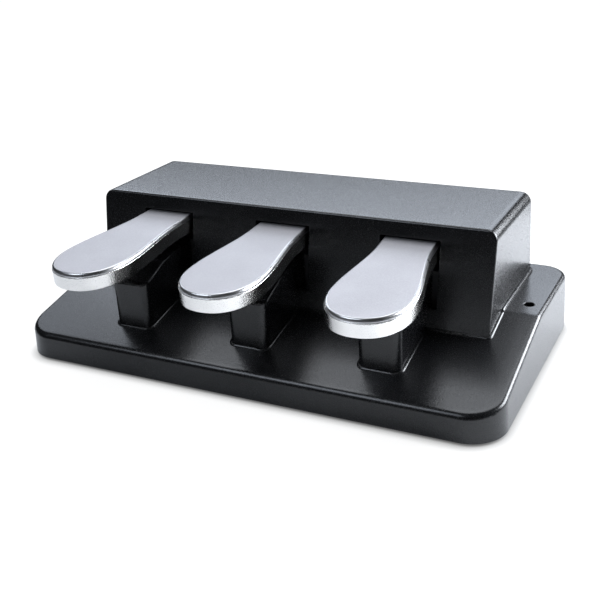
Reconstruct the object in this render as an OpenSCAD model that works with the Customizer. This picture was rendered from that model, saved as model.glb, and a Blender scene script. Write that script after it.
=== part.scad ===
// Three-pedal floor unit for a digital piano.
// One moulded black case, a steel base plate, and three sprung pedals that
// turn on one common shaft inside the rear housing.
// Millimetres, +Z up, +Y to the rear. The origin is at the middle of the
// footprint, on the floor.

/* [Base] */
// Width of the base at the floor
base_w = 285; // [280:1:320]
// Base in front of the upper edge of the housing face
base_front = 68; // [66:1:78]
// Base behind the upper edge of the housing face
base_rear = 91; // [88:1:100]
// Height of the base at its front edge, above the case's lower rim
front_h = 15.5; // [13:0.5:18]
// Height of the level rear flange, above the case's lower rim
flange_h = 33; // [31:0.5:34]
// Start of the level flange, behind the housing face
flange_start = 16.5; // [14:0.5:18]
// Plan radius of the front corners
front_corner_r = 19.5; // [14:0.5:24]
// Plan radius of the rear corners
rear_corner_r = 16; // [10:1:20]
// Rounding of the upper edge
edge_r = 3; // [2:0.5:4]
// Wall of the case
wall = 2.5; // [2:0.1:3]
// Draft of the upright walls, sideways per unit of height
draft = 0.04; // [0.02:0.01:0.06]

/* [Housing] */
// Level flange beside the housing, to the side of the base
flange_side = 21.5; // [19.5:0.5:23.5]
// Height of the housing above the case's lower rim
housing_h = 83; // [82:0.5:88]
// Depth of the housing's flat top
housing_depth = 69; // [68:1:72]
// Lean of the front face, forward per unit of height
face_lean = 0.16; // [0.1:0.01:0.2]
// Lean of the rear wall, backward per unit of height
rear_lean = 0.16; // [0.1:0.01:0.2]
// Rounding of the long upper edges at the sides
side_r = 6; // [4:0.5:8]
// Rounding of the front and rear upper edges
face_edge_r = 1.3; // [0.8:0.1:2]

/* [Slots and guards] */
// Distance between neighbouring pedals
pitch = 75; // [72:1:77]
// Width of a slot
slot_w = 33.4; // [33:0.2:36]
// Lower edge of the slots, above the case's lower rim
slot_low = 38.5; // [36:0.5:40]
// Upper edge of the slots, below the housing's top
slot_head = 8.6; // [7:0.1:9]
// Width of a guard under a pedal
guard_w = 23.4; // [20:0.2:26]
// Reach of a guard in front of the housing face
guard_reach = 47.5; // [44:0.5:52]
// Front edge of a guard, below the housing's top
guard_drop = 37.4; // [37:0.2:43]
// Rounding of a guard's upright front edges
guard_r = 3.6; // [2:0.2:5]

/* [Pedals] */
// Width of a pedal at its toe
toe_w = 43; // [38:0.5:46]
// Width of a pedal at its neck
neck_w = 31; // [28:0.5:31.5]
// Straight length of a pedal's neck in front of the housing face
neck_straight = 12; // [6:1:16]
// Reach of a pedal in front of the housing face
pedal_reach = 91; // [86:1:94]
// Where a pedal is widest, in front of the housing face
toe_centre = 64; // [58:1:66]
// Top of a pedal at the face, below the housing's top
pedal_drop = 9.8; // [9.8:0.1:11]
// Fall of a pedal towards its toe, per unit of length
pedal_fall = 0.06; // [0:0.01:0.06]
// Depth of a pedal's skirt
skirt_h = 10; // [9:0.2:10.4]
// Thickness of a pedal's top plate
plate_t = 3; // [2.6:0.2:3.4]
// Outward turn of the two outer pedals, in degrees
toe_out = 3.9; // [0:0.1:4]
// Full travel of a pedal, in degrees
travel = 5; // [4:0.5:5]

/* [Levers] */
// Pivot axis behind the housing face
pivot_back = 58; // [56:0.5:59]
// Pivot axis above the case's lower rim
pivot_h = 40; // [39:0.5:41]
// Diameter of the common shaft
shaft_d = 6; // [5:0.5:7]
// Running clearance of a bush on the shaft
bush_play = 0.05; // [0.02:0.01:0.09]
// Wall of a nylon bush
bush_wall = 2; // [1.5:0.5:2]
// Thickness of a lever's steel bar
bar_t = 5; // [4:0.5:5]
// Width of a lever's steel bar
bar_w = 16; // [12:0.5:18]
// Outer diameter of a lever's pivot barrel
barrel_d = 14; // [13.5:0.5:15]
// Length of a lever's pivot barrel
barrel_l = 22; // [20:0.5:24]

/* [Springs] */
// Outer diameter of a return spring
spring_d = 14; // [12:0.5:15]
// Wire of a return spring
spring_wire = 1.8; // [1.4:0.1:2]
// Turns of a return spring
spring_turns = 7; // [5:1:8]
// Distance of a spring in front of the pivot
spring_front = 27; // [26:0.5:28]

/* [Base plate and fixings] */
// Thickness of the steel base plate
plate_h = 1.6; // [1.2:0.1:2]
// Height of the rubber feet
foot_h = 1.5; // [1.5:0.1:3]
// Diameter of the rubber feet
foot_d = 18; // [14:1:22]
// Hole for a floor screw in each flange
flange_hole_d = 5.6; // [5:0.1:6]
// Floor screws, in from the sides of the base
flange_hole_in = 10.6; // [10:0.1:11.5]
// Floor screws behind the housing face
flange_hole_back = 28.5; // [24:0.5:34]
// Thread of the self-tapping case screws
screw_d = 3; // [2.5:0.1:3.5]
// Sheet of the brackets
sheet = 2.5; // [2:0.1:3]
// Thickness of the felt stops
felt_t = 3; // [2:0.2:3.4]

/* [Electronics] */
// Thickness of the sensor board
board_t = 1.6; // [1:0.1:2]
// Underside of the sensor board above the base plate
board_up = 17; // [15:0.5:18]
// Bore of the cable gland
gland_bore = 5.2; // [4:0.1:6]
// Cable gland to the left of the middle
gland_left = 60; // [55:1:70]

/* [Hidden] */
$fn = 64;

SIDES = [-1, 0, 1];
cut = 1;                                     // how far a cut runs past what it cuts
rim = foot_h;                                // lower rim of the case above the floor
face_y = (pedal_reach - base_rear) / 2;      // upper edge of the housing face
half_w = base_w / 2;
housing_w = base_w - 2 * flange_side;
slot_high = housing_h - slot_head;
guard_front_h = housing_h - guard_drop;
pedal_h = housing_h - pedal_drop;
flange_hole_span = base_w - 2 * flange_hole_in;
front_y = face_y - base_front;
rear_y = face_y + base_rear;
slope_start = front_y + draft * front_h + edge_r;
flange_y = face_y + flange_start;
slope = (flange_h - front_h) / (flange_y - slope_start);
slope_angle = atan(slope);
plate_top = rim + plate_h;
pivot_y = face_y + pivot_back;
pivot_z = rim + pivot_h;
shaft_r = shaft_d / 2;
bush_r = shaft_r + bush_play + bush_wall;
bush_flange = 1.5;
ear_gap = 0.5;
ear_x = barrel_l / 2 + bush_flange + ear_gap;
fit_gap = 0.05;                              // clearance of pieces pushed into each other
stop_gap = 0.3;                              // what is left between a lever and its stop

// Height of the base's top at a place y, above the case's lower rim
function base_top(y) = y >= flange_y ? flange_h : front_h + (y - slope_start) * slope;
// Place of the housing's front face at a height above the rim
function face_at(h) = face_y - face_lean * (housing_h - h);
// Height of a pedal's top at a distance d in front of the face
function pedal_z(d) = rim + pedal_h - pedal_fall * d;
// Rest place [d, z] turned down about the pivot by the full travel
function pressed(p) = let (dy = -pivot_back - p[0], dz = p[1] - pivot_z)
    [-(dy * cos(travel) - dz * sin(travel)) - pivot_back,
     pivot_z + dy * sin(travel) + dz * cos(travel)];

// ---------- helpers ----------

// Rounded rectangle with its own radius at the front and the rear corners
module plan(half, y_front, y_rear, r_front, r_rear) {
    difference() {
        translate([-half, y_front]) square([2 * half, y_rear - y_front]);
        for (side = [-1, 1]) {
            corner_cut(side * half, y_front, -side, 1, r_front);
            corner_cut(side * half, y_rear, -side, -1, r_rear);
        }
    }
}

// What a rounded corner takes off a square one at (x, y)
module corner_cut(x, y, to_x, to_y, r) {
    translate([x, y]) scale([to_x, to_y]) difference() {
        translate([-cut, -cut]) square(r + cut);
        translate([r, r]) circle(r);
    }
}

// Ring with a quarter-round upper edge: one corner of the base's rim
module corner_ring(r, round_r) {
    translate([0, 0, -round_r]) rotate_extrude($fn = 48) {
        translate([r - round_r, 0]) intersection() {
            circle(round_r, $fn = 24);
            square(round_r);
        }
        square([max(r - round_r, 0.1), round_r]);
    }
}

// Screw: head below with a cross recess, shank upward
screw_head_d = 6;
module screw(d, length, head_d, head_h) {
    difference() {
        union() {
            translate([0, 0, -head_h]) cylinder(d1 = head_d - head_h * 0.6, d2 = head_d, h = head_h, $fn = 32);
            translate([0, 0, -0.01]) cylinder(d = d, h = length + 0.01, $fn = 32);
        }
        for (turn = [0, 90]) rotate([0, 0, turn])
            translate([-head_d / 4, -0.4, -head_h - cut]) cube([head_d / 2, 0.8, cut + head_h * 0.6]);
    }
}

// Prism: a profile in the Y-Z plane, carried along X and centred on x
module side_prism(x, width) {
    translate([x - width / 2, 0, 0]) rotate([90, 0, 90]) linear_extrude(width) children();
}

// Points of a band of thickness t about a bent line
function unit(v) = v / norm(v);
function left_of(v) = [-v[1], v[0]];
function band(pts, t) = let (n = len(pts),
    dirs = [for (i = [0 : n - 2]) unit(pts[i + 1] - pts[i])],
    mitre = [for (i = [0 : n - 1]) i == 0 ? left_of(dirs[0]) : i == n - 1 ? left_of(dirs[n - 2]) :
        let (m = unit(left_of(dirs[i - 1]) + left_of(dirs[i]))) m / (m * left_of(dirs[i]))])
    concat([for (i = [0 : n - 1]) pts[i] + mitre[i] * t / 2],
        [for (i = [n - 1 : -1 : 0]) pts[i] - mitre[i] * t / 2]);

// ---------- case ----------

// The base: drafted walls, a rounded upper edge, a sloping front and a level flange.
// inset makes the hollow inside it.
module base_body(inset) {
    round_r = max(edge_r - inset, 0.5);
    fr = front_corner_r - inset;
    rr = rear_corner_r - inset;
    low = inset > 0 ? rim - cut : rim;
    half_low = half_w - inset;
    half_front = half_low - draft * front_h;
    half_flange = half_low - draft * flange_h;
    front_top = front_y + inset + draft * front_h;
    rear_top = rear_y - inset - draft * flange_h;
    hull() {
        for (side = [-1, 1]) {
            translate([side * (half_low - fr), front_y + inset + fr, low])
                cylinder(r1 = fr, r2 = 1, h = 5, $fn = 48);
            translate([side * (half_low - rr), rear_y - inset - rr, low])
                cylinder(r1 = rr, r2 = 1, h = 5, $fn = 48);
            translate([side * (half_front - fr), front_top + fr,
                rim + base_top(front_top + fr) - inset])
                rotate([slope_angle, 0, 0]) corner_ring(fr, round_r);
            translate([side * (half_flange - rr), rear_top - rr, rim + flange_h - inset])
                corner_ring(rr, round_r);
            translate([side * (half_flange - round_r), flange_y, rim + flange_h - inset - round_r])
                rotate([-90, 0, 0]) cylinder(r1 = round_r, r2 = round_r / 4, h = 4, $fn = 24);
        }
    }
}

// The housing: leaning front and rear, rounded upper edges.
module housing_body(inset) {
    top = rim + housing_h - inset;
    low = inset > 0 ? rim - cut : rim + 10;
    half = housing_w / 2 - inset;
    back_top = face_y + housing_depth - inset * sqrt(1 + rear_lean * rear_lean);
    front_top = face_y + inset * sqrt(1 + face_lean * face_lean);
    span = top - low;
    e = max(face_edge_r - inset, 0.3);
    intersection() {
        side_prism(0, 2 * half + 2) difference() {
            polygon([[front_top - face_lean * (span + inset), low], [back_top + rear_lean * (span + inset), low],
                [back_top + rear_lean * inset, top], [front_top - face_lean * inset, top]]);
            edge_cut(front_top - face_lean * inset, top, 1, e);
            edge_cut(back_top + rear_lean * inset, top, -1, e);
        }
        translate([0, rear_y + housing_h, 0]) rotate([90, 0, 0])
            linear_extrude(base_front + base_rear + 2 * housing_h)
            difference() {
                translate([-half, low]) square([2 * half, span]);
                for (side = [-1, 1])
                    corner_cut(side * half, top, -side, -1, max(side_r - inset, 1));
            }
    }
}

// A small bevel on an upper edge at (y, z), falling away towards -to_y
module edge_cut(y, z, to_y, r) {
    polygon([[y - to_y * 2 * r, z - r], [y, z - r], [y + to_y * r, z], [y + to_y * r, z + cut],
        [y - to_y * 2 * r, z + cut]]);
}

// Upper line of a guard, as [distance in front of the face, height]: it climbs from
// the guard's front edge and then follows the underside of the pressed pedal.
guard_gap = 0.9;
function under_pressed(d) = pressed([d, pedal_z(d) - skirt_h]) - [0, guard_gap];
guard_line = [[guard_reach, rim + guard_front_h], under_pressed(26), under_pressed(18),
    under_pressed(7), [-2, under_pressed(-4)[1]]];

module guard_body(x, inset) {
    low = inset > 0 ? rim - cut : rim + 10;
    intersection() {
        translate([x, 0, low]) linear_extrude(housing_h)
            plan(guard_w / 2 - inset, face_y - guard_reach + inset, face_y + 2 + inset,
                max(guard_r - inset, 1), 0.5);
        side_prism(x, guard_w + 2) polygon(concat(
            [[face_y + 8, low], [face_y - guard_reach - 2, low],
             [face_y - guard_reach - 2, guard_line[0][1] - 2 * guard_rise - inset]],
            [for (p = guard_line) [face_y - p[0], p[1] - inset]],
            [[face_y + 8, guard_line[4][1] - inset]]));
    }
}
// Rise of a guard's front part, per unit of length
guard_rise = (guard_line[1][1] - guard_line[0][1]) / (guard_reach - guard_line[1][0]);

// Screw posts of the base plate: [x, y]
post_in_side = 20;
post_in_front = 17;
post_in_rear = 10.5;
post_side = half_w - post_in_side;
post_front = front_y + post_in_front;
post_rear = rear_y - post_in_rear;
post_grip = 8;                               // how far a case screw reaches into its post
POSTS = [for (x = [-post_side, -pitch / 2, pitch / 2, post_side]) for (y = [post_front, post_rear]) [x, y]];
post_d = 8;
hole_y = face_y + flange_hole_back;
boss_d = 11;
felt_y = face_y + 2;                         // front edge of the felt stops
felt_l = 8;
felt_w = 14;
gland_z = rim + 11;
gland_wall = 3;
gland_seat = rear_y - 7;                     // inner side of the wall that holds the gland
gland_neck_d = 10;

// The case is one moulding. Its parts are drawn as nodes of their own that meet face to
// face: the base, the housing that stands through its deck, and the three guards.
module base_shell() {
    color("#1b1c1f") difference() {
        union() {
            difference() {
                base_body(0);
                base_body(wall);
            }
            for (p = POSTS)
                translate([p[0], p[1], plate_top])
                    cylinder(d = post_d, h = rim + base_top(p[1]) - plate_top - wall / 2, $fn = 32);
            for (side = [-1, 1])
                translate([side * flange_hole_span / 2, hole_y, plate_top])
                    cylinder(d = boss_d, h = rim + flange_h - plate_top - wall / 2);
            translate([-gland_left - 10, gland_seat, plate_top])
                cube([20, rear_y - gland_seat - draft * flange_h - wall / 2, 20]);
        }
        housing_body(0);
        for (side = SIDES) guard_body(side * pitch, 0);
        for (p = POSTS)
            translate([p[0], p[1], plate_top - cut])
                cylinder(d = screw_d, h = post_grip + 1 + cut, $fn = 32);
        for (side = [-1, 1])
            translate([side * flange_hole_span / 2, hole_y, rim - cut])
                cylinder(d = flange_hole_d, h = flange_h + 2 * cut);
        translate([-gland_left - 8, gland_seat + gland_wall, gland_z - 8]) cube([16, 20, 16]);
        translate([-gland_left, gland_seat - cut, gland_z]) rotate([-90, 0, 0])
            cylinder(d = gland_neck_d, h = gland_wall + 2 * cut);
    }
}

module housing_shell() {
    color("#1b1c1f") difference() {
        union() {
            difference() {
                housing_body(0);
                housing_body(wall);
            }
            for (side = SIDES)
                translate([side * pitch - felt_w / 2, felt_y, felt_top_z()])
                    cube([felt_w, felt_l, rim + housing_h - wall / 2 - felt_top_z()]);
        }
        base_body(wall);
        for (side = SIDES) {
            guard_body(side * pitch, 0);
            translate([side * pitch - slot_w / 2, face_y - 30, rim + slot_low])
                cube([slot_w, 30 + wall * 1.5, slot_high - slot_low]);
        }
    }
}

module guard(side) {
    color("#1b1c1f") difference() {
        guard_body(side * pitch, 0);
        guard_body(side * pitch, wall);
        base_body(wall);
        housing_body(wall);
    }
}
module guard_left() { guard(-1); }
module guard_centre() { guard(0); }
module guard_right() { guard(1); }

function felt_top_z() = pedal_z(-6) + 0.4 + felt_t;

module base_plate() {
    gap = wall + 0.4;
    color("#2a2b2d") translate([0, 0, rim]) linear_extrude(plate_h) difference() {
        plan(half_w - gap, front_y + gap, rear_y - gap, front_corner_r - gap, rear_corner_r - gap);
        for (p = POSTS) translate(p) circle(d = screw_d + 0.4, $fn = 32);
        for (side = [-1, 1])
            translate([side * flange_hole_span / 2, hole_y]) circle(d = flange_hole_d);
        for (p = RAIL_HOLES) translate(p) circle(d = screw_d, $fn = 32);
        for (p = BRACKET_HOLES) translate(p) circle(d = screw_d, $fn = 32);
        for (p = BOARD_POSTS) translate(p) circle(d = screw_d, $fn = 32);
    }
}

foot_in_side = 30;
foot_in = 34;
FEET = [for (x = [-1, 0, 1]) for (y = [front_y + foot_in, rear_y - foot_in]) [x * (half_w - foot_in_side), y]];
module rubber_feet() {
    color("#151515") for (p = FEET) translate([p[0], p[1], 0]) cylinder(d = foot_d, h = foot_h);
}

module case_screws() {
    color("#8d9094") for (p = POSTS) translate([p[0], p[1], rim])
        screw(screw_d - 2 * fit_gap, plate_h + post_grip, screw_head_d, 1.3);
}

// ---------- pivot, brackets and stops ----------

bracket_front = pivot_y - spring_front - 9;
ear_half = 8;
module bracket(x) {
    rear = pivot_y + ear_half;
    color("#232427") translate([x, 0, 0]) difference() {
        union() {
            translate([-ear_x - sheet, bracket_front, plate_top])
                cube([2 * (ear_x + sheet), rear - bracket_front, sheet]);
            for (side = [-1, 1])
                side_prism(side * (ear_x + sheet / 2), sheet) union() {
                    translate([pivot_y - ear_half, plate_top + sheet / 2])
                        square([2 * ear_half, pivot_z - plate_top - sheet / 2]);
                    translate([pivot_y, pivot_z]) circle(ear_half);
                    polygon([[bracket_front, plate_top + sheet / 2], [pivot_y, plate_top + sheet / 2],
                        [pivot_y, pivot_z - 8], [pivot_y - ear_half, pivot_z - 8],
                        [bracket_front, plate_top + sheet + 4]]);
                }
            translate([0, pivot_y - spring_front, plate_top])
                cylinder(d = spring_d - 2 * spring_wire - 1, h = sheet + 7, $fn = 32);
        }
        translate([-ear_x - sheet - cut, pivot_y, pivot_z]) rotate([0, 90, 0])
            cylinder(r = shaft_r + bush_play, h = 2 * (ear_x + sheet + cut));
        for (p = BRACKET_PAIR)
            translate([p[0], p[1], plate_top - cut]) cylinder(d = screw_d + 0.2, h = sheet + 2 * cut, $fn = 32);
    }
}
BRACKET_PAIR = [[0, bracket_front + 22], [0, pivot_y + 3]];
BRACKET_HOLES = [for (side = SIDES) for (p = BRACKET_PAIR) [side * pitch + p[0], p[1]]];
module bracket_left() { bracket(-pitch); }
module bracket_centre() { bracket(0); }
module bracket_right() { bracket(pitch); }

module bracket_screws() {
    color("#8d9094") for (p = BRACKET_HOLES) translate([p[0], p[1], plate_top + sheet])
        rotate([180, 0, 0]) screw(screw_d - 2 * fit_gap, sheet + plate_h - 0.3, screw_head_d, 1.8);
}

shaft_half = pitch + ear_x + sheet + 4;
clip_groove = 1;
module pivot_shaft() {
    color("#cfd2d6") difference() {
        translate([-shaft_half, pivot_y, pivot_z]) rotate([0, 90, 0]) cylinder(r = shaft_r, h = 2 * shaft_half);
        for (side = [-1, 1])
            translate([side * (shaft_half - 2) - clip_groove / 2, pivot_y, pivot_z]) rotate([0, 90, 0])
                difference() {
                    cylinder(r = shaft_r + cut, h = clip_groove);
                    translate([0, 0, -cut]) cylinder(r = shaft_r - 0.6, h = clip_groove + 2 * cut);
                }
    }
}

module shaft_clips() {
    color("#6d7074") for (side = [-1, 1])
        translate([side * (shaft_half - 2) - 0.4, pivot_y, pivot_z]) rotate([0, 90, 0])
            difference() {
                cylinder(d = shaft_d + 5, h = 0.8, $fn = 32);
                translate([0, 0, -cut]) cylinder(r = shaft_r - 0.6 + fit_gap, h = 0.8 + 2 * cut, $fn = 32);
                translate([0, -1.6, -cut]) cube([20, 3.2, 0.8 + 2 * cut]);
            }
}

// Lowest line of the pressed lever bar over the felt
function bar_low_pressed(d) = pressed([d, pedal_z(d) - plate_t - bar_t])[1];
lower_felt_top = bar_low_pressed(face_y - felt_y) - stop_gap - 0.3;
rail_top = lower_felt_top - felt_t;
rail_t = 2;
rail_over = 25;                              // rail past an outer pedal
rail_post_in = 6;
rail_window = 36;
rail_sill = 12;
rail_half = pitch + rail_over;
rail_y = face_y + 1;
rail_foot = 12;
RAIL_HOLES = [for (x = [-rail_half + rail_post_in, -pitch / 2, pitch / 2, rail_half - rail_post_in])
    [x, rail_y + 7]];
module stop_rail() {
    color("#232427") difference() {
        side_prism(0, 2 * rail_half) union() {
            translate([rail_y, plate_top]) square([rail_foot, rail_t]);
            translate([rail_y, plate_top]) square([rail_t, rail_top - plate_top]);
            translate([rail_y, rail_top - rail_t]) square([felt_l + 1.5, rail_t]);
        }
        for (p = RAIL_HOLES)
            translate([p[0], p[1], plate_top - cut]) cylinder(d = screw_d + 0.2, h = rail_t + 2 * cut, $fn = 32);
        for (x = [-pitch / 2, pitch / 2])
            translate([x - rail_window / 2, rail_y - cut, plate_top + rail_sill])
                cube([rail_window, rail_foot, rail_top]);
    }
}

module rail_screws() {
    color("#8d9094") for (p = RAIL_HOLES) translate([p[0], p[1], plate_top + rail_t])
        rotate([180, 0, 0]) screw(screw_d - 2 * fit_gap, rail_t + plate_h - 0.3, screw_head_d, 1.8);
}

module lower_felts() {
    color("#1f1f21") for (side = SIDES)
        translate([side * pitch - felt_w / 2, felt_y, rail_top]) cube([felt_w, felt_l, felt_t]);
}

module upper_felts() {
    color("#1f1f21") for (side = SIDES)
        translate([side * pitch - felt_w / 2, felt_y, felt_top_z() - felt_t]) cube([felt_w, felt_l, felt_t]);
}

// ---------- sensing and cable ----------

board_y = pivot_y + 9;
board_w = 9;
board_over = 22;                             // board past an outer pedal
board_post_in = 4;
spacer_d = 7;
board_head_d = 5.6;
board_half = pitch + board_over;
board_z = plate_top + board_up;
BOARD_POSTS = [for (x = [-board_half + board_post_in, -pitch / 2, pitch / 2, board_half - board_post_in])
    [x, board_y + board_w / 2]];
module sensor_board() {
    color("#1f5a34") difference() {
        translate([-board_half, board_y, board_z]) cube([2 * board_half, board_w, board_t]);
        for (p = BOARD_POSTS)
            translate([p[0], p[1], board_z - cut]) cylinder(d = screw_d + 0.2, h = board_t + 2 * cut, $fn = 32);
    }
}

module board_spacers() {
    color("#d9d7cd") for (p = BOARD_POSTS) translate([p[0], p[1], plate_top]) difference() {
        cylinder(d = spacer_d, h = board_up, $fn = 6);
        translate([0, 0, -cut]) cylinder(d = screw_d, h = board_up + 2 * cut, $fn = 32);
    }
}

module board_screws() {
    color("#8d9094") for (p = BOARD_POSTS) translate([p[0], p[1], board_z + board_t])
        rotate([180, 0, 0]) screw(screw_d - 2 * fit_gap, board_t + board_up + plate_h - 0.3, board_head_d, 1.8);
}

gate_h = 14;
gate_l = 6;
gate_slot = 3.4;
module light_gates() {
    color("#232326") for (side = SIDES)
        translate([side * pitch - 6, board_y + 0.5, board_z + board_t]) difference() {
            cube([12, gate_l, gate_h]);
            translate([6 - gate_slot / 2, -cut, 5]) cube([gate_slot, gate_l + 2 * cut, gate_h]);
        }
}

module wire_header() {
    color("#e6e2d5") translate([-gland_left + 2, board_y + 1, board_z + board_t]) difference() {
        cube([14, 7, 6]);
        translate([1, 1, 1.5]) cube([12, 5, 6]);
    }
}

module cable_gland() {
    color("#1a1a1a") translate([-gland_left, gland_seat, gland_z]) rotate([-90, 0, 0]) difference() {
        union() {
            cylinder(d = gland_neck_d - 2 * fit_gap, h = gland_wall);
            translate([0, 0, gland_wall]) cylinder(d = gland_neck_d + 4, h = 1.6);
            translate([0, 0, -2]) cylinder(d1 = gland_neck_d, d2 = gland_neck_d + 2, h = 2);
        }
        translate([0, 0, -5]) cylinder(d = gland_bore, h = 20);
    }
}

// ---------- pedals and levers ----------

// Half width of a pedal's outline at a part t of the way from the face to its widest place:
// straight at first, then a smooth swell
function swell(u) = u * u * (3 - 2 * u);
function neck_part(t) = max(0, (t * toe_centre - neck_straight) / (toe_centre - neck_straight));
function neck_half(t) = neck_w / 2 + (toe_w - neck_w) / 2 * swell(neck_part(t));
toe_power = 2 / 2.2;
tail = 11;                                   // pedal plate behind the face
function toe_half(a) = pow(cos(a), toe_power);
function toe_along(a) = pow(sin(a), toe_power);
// Right half of the outline from its end behind the face to the toe, drawn in by inset
function pedal_side(inset, end) = concat(
    [[neck_w / 2 - inset, end]],
    [for (i = [0 : 11]) [neck_half(i / 12) - inset, -toe_centre * i / 12]],
    [for (i = [0 : 15]) let (a = i * 6) [(toe_w / 2 - inset) * toe_half(a),
        -toe_centre - (pedal_reach - toe_centre - inset) * toe_along(a)]],
    [[0, -pedal_reach + inset]]);
function mirrored(pts) = [for (i = [len(pts) - 2 : -1 : 0]) [-pts[i][0], pts[i][1]]];
module pedal_outline(inset, end) {
    polygon(concat(pedal_side(inset, end), mirrored(pedal_side(inset, end))));
}

// Places the children on the pedal's own axes: origin on its top at the face
module on_pedal(side) {
    translate([side * pitch, face_y, rim + pedal_h]) rotate([atan(pedal_fall), 0, 0])
        children();
}
rim_step = 1.7;                              // height of the small step round the top
bead = 0.5;
PEDAL_BOLTS = [5, -10];                      // places along the pedal, rearwards
bolt_d = 4;

module pedal(side) {
    color("#c6c8ce") on_pedal(side) rotate([0, 0, side * toe_out]) difference() {
        union() {
            translate([0, 0, -skirt_h]) linear_extrude(skirt_h - rim_step - bead) pedal_outline(0, tail);
            translate([0, 0, -rim_step - bead]) linear_extrude(bead) pedal_outline(0.3, tail);
            translate([0, 0, -rim_step]) linear_extrude(rim_step - bead) pedal_outline(0.8, tail);
            translate([0, 0, -bead]) linear_extrude(bead) pedal_outline(1.2, tail);
        }
        translate([0, 0, -skirt_h - cut])
            linear_extrude(skirt_h - plate_t + cut) pedal_outline(wall, tail + cut);
        rotate([0, 0, -side * toe_out]) for (y = PEDAL_BOLTS)
            translate([0, y, -plate_t - cut]) cylinder(d = bolt_d, h = cut + plate_t - 0.8, $fn = 32);
    }
}
module pedal_left() { pedal(-1); }
module pedal_centre() { pedal(0); }
module pedal_right() { pedal(1); }

// Centre line of a lever bar, as [y, z]: under the pedal, down, and back to the pivot
under_plate = (plate_t + bar_t / 2) * sqrt(1 + pedal_fall * pedal_fall);
bar_front = 18;
knee_back = 15;
knee_run = 7;
LEVER_LINE = [[face_y - bar_front, pedal_z(bar_front) - under_plate],
    [face_y + knee_back, pedal_z(-knee_back) - under_plate],
    [face_y + knee_back + knee_run, pivot_z], [pivot_y, pivot_z]];
module lever(side) {
    x = side * pitch;
    color("#9a9da2") difference() {
        union() {
            side_prism(x, bar_w) polygon(band(LEVER_LINE, bar_t));
            translate([x - barrel_l / 2, pivot_y, pivot_z]) rotate([0, 90, 0])
                cylinder(d = barrel_d, h = barrel_l);
            translate([x, pivot_y - spring_front, spring_top - 4])
                cylinder(d = spring_d - 2 * spring_wire - 1, h = 6, $fn = 32);
        }
        translate([x - barrel_l / 2 - cut, pivot_y, pivot_z]) rotate([0, 90, 0])
            cylinder(r = bush_r + fit_gap / 2, h = barrel_l + 2 * cut);
        translate([x - flag_t / 2 - fit_gap, pivot_y + barrel_d / 2 - flag_seat - fit_gap,
            pivot_z - flag_root - fit_gap])
            cube([flag_t + 2 * fit_gap, 5, 2 * (flag_root + fit_gap)]);
        on_pedal(side) for (y = PEDAL_BOLTS) {
            translate([0, y, -plate_t - bar_t - cut]) cylinder(d = bolt_d + 0.2, h = bar_t + 2 * cut, $fn = 32);
            translate([0, y, -plate_t - bar_t - cut]) cylinder(d1 = bolt_d + 6, d2 = bolt_d, h = 3 + cut, $fn = 32);
        }
    }
}
module lever_left() { lever(-1); }
module lever_centre() { lever(0); }
module lever_right() { lever(1); }

module bushes(side) {
    x = side * pitch;
    color("#e8e6dc") for (end = [-1, 1])
        translate([x + end * (barrel_l / 2 + bush_flange), pivot_y, pivot_z]) rotate([0, -end * 90, 0])
            difference() {
                union() {
                    cylinder(r = bush_r, h = bush_flange + 7);
                    cylinder(d = barrel_d - 1, h = bush_flange);
                }
                translate([0, 0, -cut]) cylinder(r = shaft_r + bush_play, h = 20);
            }
}
module bushes_left() { bushes(-1); }
module bushes_centre() { bushes(0); }
module bushes_right() { bushes(1); }

module pedal_screws(side) {
    color("#70737a") on_pedal(side) for (y = PEDAL_BOLTS) translate([0, y, -plate_t - bar_t + 0.2]) {
        cylinder(d1 = bolt_d + 3.6, d2 = bolt_d - 0.2, h = 2.2, $fn = 32);
        cylinder(d = bolt_d - 2 * fit_gap, h = bar_t + plate_t - 1.2, $fn = 32);
    }
}
module pedal_screws_left() { pedal_screws(-1); }
module pedal_screws_centre() { pedal_screws(0); }
module pedal_screws_right() { pedal_screws(1); }

flag_t = 1.2;
flag_seat = 1;                               // how deep a flag is let into its barrel
flag_root = 3;
module flag(side) {
    color("#232326") side_prism(side * pitch, flag_t) polygon([
        [pivot_y + barrel_d / 2 - flag_seat, pivot_z + flag_root], [board_y + gate_l - 1, pivot_z + 1],
        [board_y + gate_l - 1, pivot_z - 12], [board_y + 1.5, pivot_z - 12],
        [board_y + 1.5, pivot_z - flag_root], [pivot_y + barrel_d / 2 - flag_seat, pivot_z - flag_root]]);
}
module flag_left() { flag(-1); }
module flag_centre() { flag(0); }
module flag_right() { flag(1); }

// ---------- return springs ----------

spring_low = plate_top + sheet;
spring_top = pivot_z - bar_t / 2;
wire_sides = 6;
turn_steps = 14;
coil_r = (spring_d - spring_wire) / 2;
spring_clear = 0.1;
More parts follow.
